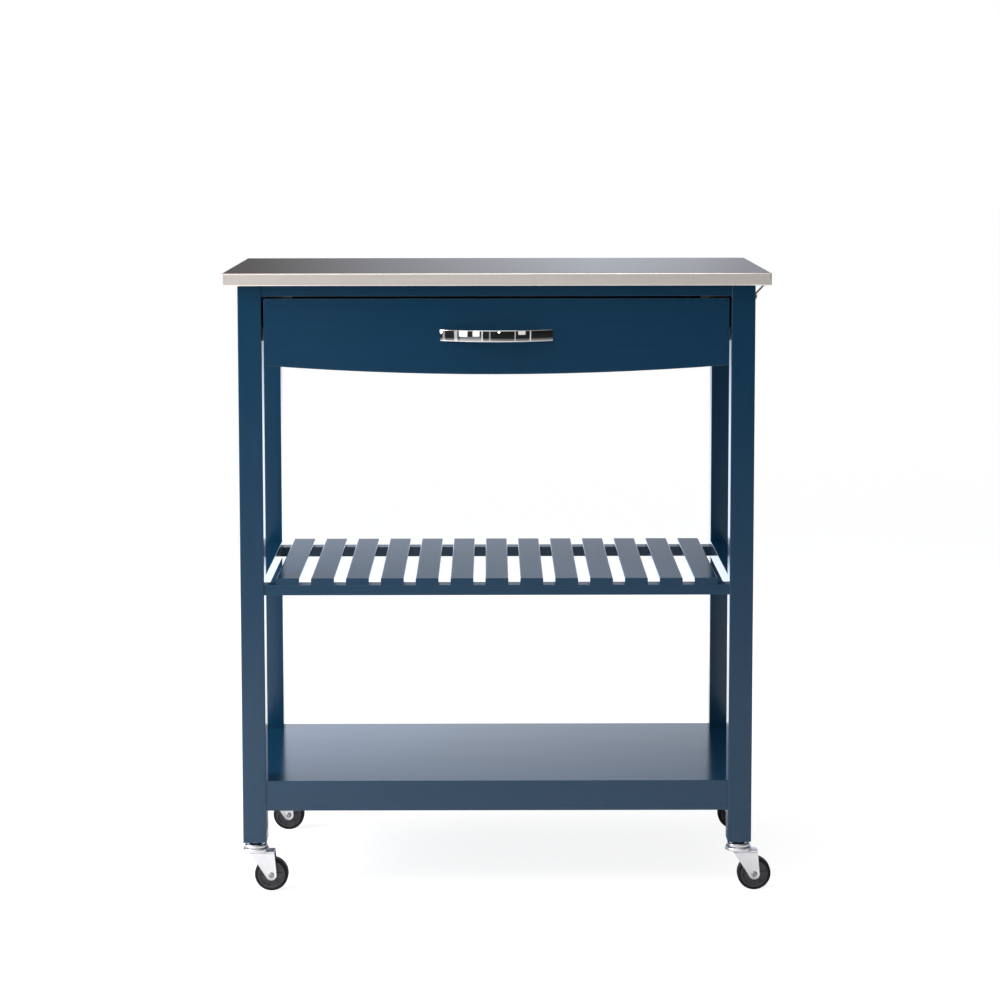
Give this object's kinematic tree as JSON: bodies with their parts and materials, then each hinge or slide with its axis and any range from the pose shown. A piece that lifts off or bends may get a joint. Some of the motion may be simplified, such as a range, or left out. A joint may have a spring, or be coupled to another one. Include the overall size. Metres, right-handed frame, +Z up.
{
  "type": "kitchen island cart",
  "caption": "Rolling kitchen island cart: steel-covered worktop, wide drawer with a bowed pull, slatted shelf, solid lower shelf and swivel casters.",
  "frame": {"origin": "on the floor under the middle of the worktop", "axes": "+Z up, +X to the right seen from the front, the drawer front faces -Y; the drawer opens along -Y"},
  "size_m": [0.8096, 0.42, 0.927],
  "materials": {
    "brushed_top": "brushed along its length, soft reflections",
    "core_board": "raw fibreboard",
    "navy_paint": "semi-gloss dark blue paint on timber",
    "white_nylon": "moulded, matt",
    "zinc_steel": "bright zinc plating",
    "pale_wood": "clear-lacquered pale timber",
    "chrome": "polished",
    "white_epoxy": "epoxy powder coat",
    "fork_steel": "zinc-plated pressing",
    "hub_plastic": "moulded, slightly glossy",
    "tyre_rubber": "smooth tread"
  },
  "bodies": {
    "frame": {"steel_top": "brushed_top", "top_board": "core_board", "leg_front_left": "navy_paint", "leg_front_right": "navy_paint", "leg_rear_left": "navy_paint", "leg_rear_right": "navy_paint", "top_rail_front": "navy_paint", "apron_rear": "navy_paint", "apron_left": "navy_paint", "apron_right": "navy_paint", "shelf_rail_front": "navy_paint", "shelf_rail_rear": "navy_paint", "shelf_rail_left": "navy_paint", "shelf_rail_right": "navy_paint", "shelf_slats": "navy_paint", "lower_shelf_panel": "navy_paint", "lower_rail_front": "navy_paint", "lower_rail_rear": "navy_paint", "lower_rail_left": "navy_paint", "lower_rail_right": "navy_paint", "lower_cleats": "navy_paint", "corner_blocks": "white_nylon", "fixing_screws": "zinc_steel", "slat_screws": "zinc_steel", "frame_bolts": "zinc_steel", "barrel_nuts": "zinc_steel", "leg_inserts": "zinc_steel", "side_stay": "zinc_steel", "caster_stems": "zinc_steel", "slide_channel_left": "white_epoxy", "slide_channel_right": "white_epoxy"},
    "drawer": {"drawer_front": "navy_paint", "drawer_side_left": "pale_wood", "drawer_side_right": "pale_wood", "drawer_back": "pale_wood", "drawer_bottom": "pale_wood", "drawer_pull": "chrome", "pull_screws": "zinc_steel", "slide_runner_left": "white_epoxy", "slide_runner_right": "white_epoxy"},
    "channel_roller_left": {"channel_roller_left": "white_nylon"},
    "runner_roller_left": {"runner_roller_left": "white_nylon"},
    "channel_roller_right": {"channel_roller_right": "white_nylon"},
    "runner_roller_right": {"runner_roller_right": "white_nylon"},
    "caster_swivel_front_left": {"caster_fork_front_left": "fork_steel", "caster_axle_front_left": "fork_steel"},
    "caster_wheel_front_left": {"caster_hub_front_left": "hub_plastic", "caster_tyre_front_left": "tyre_rubber"},
    "caster_swivel_front_right": {"caster_fork_front_right": "fork_steel", "caster_axle_front_right": "fork_steel"},
    "caster_wheel_front_right": {"caster_hub_front_right": "hub_plastic", "caster_tyre_front_right": "tyre_rubber"},
    "caster_swivel_rear_left": {"caster_fork_rear_left": "fork_steel", "caster_axle_rear_left": "fork_steel"},
    "caster_wheel_rear_left": {"caster_hub_rear_left": "hub_plastic", "caster_tyre_rear_left": "tyre_rubber"},
    "caster_swivel_rear_right": {"caster_fork_rear_right": "fork_steel", "caster_axle_rear_right": "fork_steel"},
    "caster_wheel_rear_right": {"caster_hub_rear_right": "hub_plastic", "caster_tyre_rear_right": "tyre_rubber"}
  },
  "joints": [
    {"name": "drawer_slide", "type": "slide", "parent": "frame", "child": "drawer", "axis": [0, -1, 0], "range_m": [0, 0.255]},
    {"name": "channel_roller_left_spin", "type": "hinge", "parent": "frame", "child": "channel_roller_left", "pos_m": [-0.33745, -0.152, 0.83755], "axis": [1, 0, 0], "continuous": true},
    {"name": "runner_roller_left_spin", "type": "hinge", "parent": "drawer", "child": "runner_roller_left", "pos_m": [-0.33745, 0.154, 0.83495], "axis": [1, 0, 0], "continuous": true},
    {"name": "channel_roller_right_spin", "type": "hinge", "parent": "frame", "child": "channel_roller_right", "pos_m": [0.33745, -0.152, 0.83755], "axis": [1, 0, 0], "continuous": true},
    {"name": "runner_roller_right_spin", "type": "hinge", "parent": "drawer", "child": "runner_roller_right", "pos_m": [0.33745, 0.154, 0.83495], "axis": [1, 0, 0], "continuous": true},
    {"name": "caster_swivel_front_left", "type": "hinge", "parent": "frame", "child": "caster_swivel_front_left", "pos_m": [-0.3613, -0.17, 0.07], "axis": [0, 0, 1], "continuous": true},
    {"name": "caster_spin_front_left", "type": "hinge", "parent": "caster_swivel_front_left", "child": "caster_wheel_front_left", "pos_m": [-0.338, -0.17, 0.025], "axis": [0, 1, 0], "continuous": true},
    {"name": "caster_swivel_front_right", "type": "hinge", "parent": "frame", "child": "caster_swivel_front_right", "pos_m": [0.3613, -0.17, 0.07], "axis": [0, 0, 1], "continuous": true},
    {"name": "caster_spin_front_right", "type": "hinge", "parent": "caster_swivel_front_right", "child": "caster_wheel_front_right", "pos_m": [0.3846, -0.17, 0.025], "axis": [0, 1, 0], "continuous": true},
    {"name": "caster_swivel_rear_left", "type": "hinge", "parent": "frame", "child": "caster_swivel_rear_left", "pos_m": [-0.3613, 0.17, 0.07], "axis": [0, 0, 1], "continuous": true},
    {"name": "caster_spin_rear_left", "type": "hinge", "parent": "caster_swivel_rear_left", "child": "caster_wheel_rear_left", "pos_m": [-0.338, 0.17, 0.025], "axis": [0, 1, 0], "continuous": true},
    {"name": "caster_swivel_rear_right", "type": "hinge", "parent": "frame", "child": "caster_swivel_rear_right", "pos_m": [0.3613, 0.17, 0.07], "axis": [0, 0, 1], "continuous": true},
    {"name": "caster_spin_rear_right", "type": "hinge", "parent": "caster_swivel_rear_right", "child": "caster_wheel_rear_right", "pos_m": [0.3846, 0.17, 0.025], "axis": [0, 1, 0], "continuous": true}
  ],
  "couplings": [
    {"joint": "channel_roller_left_spin", "follows": "drawer_slide", "rad_per_m": 125},
    {"joint": "runner_roller_left_spin", "follows": "drawer_slide", "rad_per_m": 125},
    {"joint": "channel_roller_right_spin", "follows": "drawer_slide", "rad_per_m": 125},
    {"joint": "runner_roller_right_spin", "follows": "drawer_slide", "rad_per_m": 125}
  ]
}
